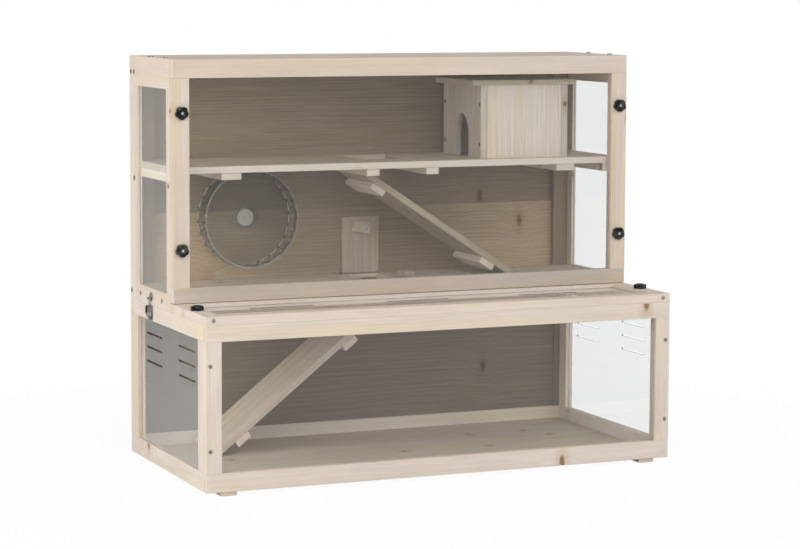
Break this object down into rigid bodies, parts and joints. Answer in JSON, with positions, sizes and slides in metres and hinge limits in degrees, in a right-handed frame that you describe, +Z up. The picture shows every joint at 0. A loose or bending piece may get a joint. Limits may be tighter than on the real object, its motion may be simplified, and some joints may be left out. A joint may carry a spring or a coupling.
{
  "type": "hamster cage",
  "caption": "Long wooden hamster cage: a low box with clear walls and a sliding framed lid, and a taller clear-fronted cabinet with a shelf, ramps, a hut and a running wheel.",
  "frame": {"origin": "on the ground, below the middle of the box", "axes": "+X to the right seen from the front, +Y towards the back, +Z upwards"},
  "size_m": [1.176, 0.55, 0.9555],
  "materials": {
    "pine_frame": "planed and pale, unvarnished",
    "pine_board": "planed board, unvarnished",
    "clear_sheet": "clear polished acrylic",
    "clear_wheel": "clear glossy plastic",
    "pale_plastic": "glossy pale plastic",
    "black_knob": "glossy black with a steel insert",
    "latch_steel": "plated sheet steel",
    "dark_fastener": "dull dark steel"
  },
  "bodies": {
    "cage": {"lower_long_rails": "pine_frame", "lower_posts": "pine_frame", "lower_side_rails": "pine_frame", "lower_side_stiles": "pine_frame", "runners": "pine_frame", "cabinet_side_rails": "pine_frame", "cabinet_side_stiles": "pine_frame", "back_corner_posts": "pine_frame", "back_crown_rail": "pine_frame", "front_posts": "pine_frame", "cross_bearers": "pine_frame", "shelf_cleats": "pine_frame", "ramp_battens": "pine_frame", "lower_back_panel": "pine_board", "lower_floor": "pine_board", "back_wall_boards": "pine_board", "roof_board": "pine_board", "cabinet_floor": "pine_board", "shelf": "pine_board", "upper_ramp": "pine_board", "lower_ramp": "pine_board", "button_post": "pine_board", "hut_left_wall": "pine_board", "hut_right_wall": "pine_board", "hut_end_boards": "pine_board", "hut_roof": "pine_board", "lower_side_panels": "clear_sheet", "lower_front_panel": "clear_sheet", "cabinet_side_panels": "clear_sheet", "wheel_axle": "pale_plastic", "latch_bases": "latch_steel", "latch_catches": "latch_steel", "hatch_brackets": "latch_steel", "wood_screws": "dark_fastener", "frame_bolts": "dark_fastener"},
    "lid": {"lid_long_rails": "pine_frame", "lid_end_rails": "pine_frame", "lid_panel": "clear_sheet", "lid_screws": "dark_fastener"},
    "lid_left_knob": {"lid_left_knob": "black_knob"},
    "lid_right_knob": {"lid_right_knob": "black_knob"},
    "door": {"door_rails": "pine_frame", "door_stiles": "pine_frame", "door_panel": "clear_sheet"},
    "door_left_upper_knob": {"door_left_upper_knob": "black_knob"},
    "door_left_lower_knob": {"door_left_lower_knob": "black_knob"},
    "door_right_upper_knob": {"door_right_upper_knob": "black_knob"},
    "door_right_lower_knob": {"door_right_lower_knob": "black_knob"},
    "flap": {"hatch_flap": "pine_board", "hatch_pins": "latch_steel", "flap_button_screw": "dark_fastener"},
    "flap_button": {"flap_turn_button": "pine_board"},
    "floor_button": {"floor_turn_button": "pine_board"},
    "wheel": {"wheel_rim": "clear_wheel", "wheel_disc": "clear_wheel", "wheel_hub": "pale_plastic"},
    "left_lever": {"left_latch_lever": "latch_steel"},
    "left_loop": {"left_latch_loop": "latch_steel"},
    "right_lever": {"right_latch_lever": "latch_steel"},
    "right_loop": {"right_latch_loop": "latch_steel"}
  },
  "joints": [
    {"name": "lid_slide", "type": "slide", "parent": "cage", "child": "lid", "axis": [0, -1, 0], "range_m": [0, 0.2]},
    {"name": "door_slide", "type": "slide", "parent": "cage", "child": "door", "axis": [0, -1, 0], "range_m": [0, 0.08]},
    {"name": "lid_left_knob_turn", "type": "hinge", "parent": "lid", "child": "lid_left_knob", "pos_m": [-0.557, -0.162, 0.4], "axis": [0, 0, 1], "continuous": true},
    {"name": "door_left_upper_knob_turn", "type": "hinge", "parent": "door", "child": "door_left_upper_knob", "pos_m": [-0.555, -0.049, 0.832], "axis": [0, -1, 0], "continuous": true},
    {"name": "door_left_lower_knob_turn", "type": "hinge", "parent": "door", "child": "door_left_lower_knob", "pos_m": [-0.555, -0.049, 0.522], "axis": [0, -1, 0], "continuous": true},
    {"name": "lid_right_knob_turn", "type": "hinge", "parent": "lid", "child": "lid_right_knob", "pos_m": [0.557, -0.162, 0.4], "axis": [0, 0, 1], "continuous": true},
    {"name": "door_right_upper_knob_turn", "type": "hinge", "parent": "door", "child": "door_right_upper_knob", "pos_m": [0.555, -0.049, 0.832], "axis": [0, -1, 0], "continuous": true},
    {"name": "door_right_lower_knob_turn", "type": "hinge", "parent": "door", "child": "door_right_lower_knob", "pos_m": [0.555, -0.049, 0.522], "axis": [0, -1, 0], "continuous": true},
    {"name": "flap_fold", "type": "hinge", "parent": "cage", "child": "flap", "pos_m": [0, 0.244, 0.421], "axis": [1, 0, 0], "range_deg": [0, 90]},
    {"name": "flap_button_turn", "type": "hinge", "parent": "flap", "child": "flap_button", "pos_m": [0.01, 0.2352, 0.5286], "axis": [0, -1, 0], "range_deg": [0, 90]},
    {"name": "floor_button_turn", "type": "hinge", "parent": "cage", "child": "floor_button", "pos_m": [0.065, 0.1, 0.4301], "axis": [0, 0, 1], "range_deg": [0, 90]},
    {"name": "wheel_spin", "type": "hinge", "parent": "cage", "child": "wheel", "pos_m": [-0.301, 0.22, 0.564], "axis": [0, 1, 0], "continuous": true},
    {"name": "left_lever_swing", "type": "hinge", "parent": "cage", "child": "left_lever", "pos_m": [-0.583, 0.113, 0.374], "axis": [0, 1, 0], "range_deg": [0, 85]},
    {"name": "left_loop_swing", "type": "hinge", "parent": "left_lever", "child": "left_loop", "pos_m": [-0.5805, 0.113, 0.362], "axis": [0, 1, 0], "range_deg": [-60, 0]},
    {"name": "right_lever_swing", "type": "hinge", "parent": "cage", "child": "right_lever", "pos_m": [0.583, 0.113, 0.374], "axis": [0, -1, 0], "range_deg": [0, 85]},
    {"name": "right_loop_swing", "type": "hinge", "parent": "right_lever", "child": "right_loop", "pos_m": [0.5805, 0.113, 0.362], "axis": [0, -1, 0], "range_deg": [-60, 0]}
  ],
  "couplings": [
    {"joint": "left_loop_swing", "follows": "left_lever_swing", "ratio": -0.7},
    {"joint": "right_loop_swing", "follows": "right_lever_swing", "ratio": -0.7}
  ]
}
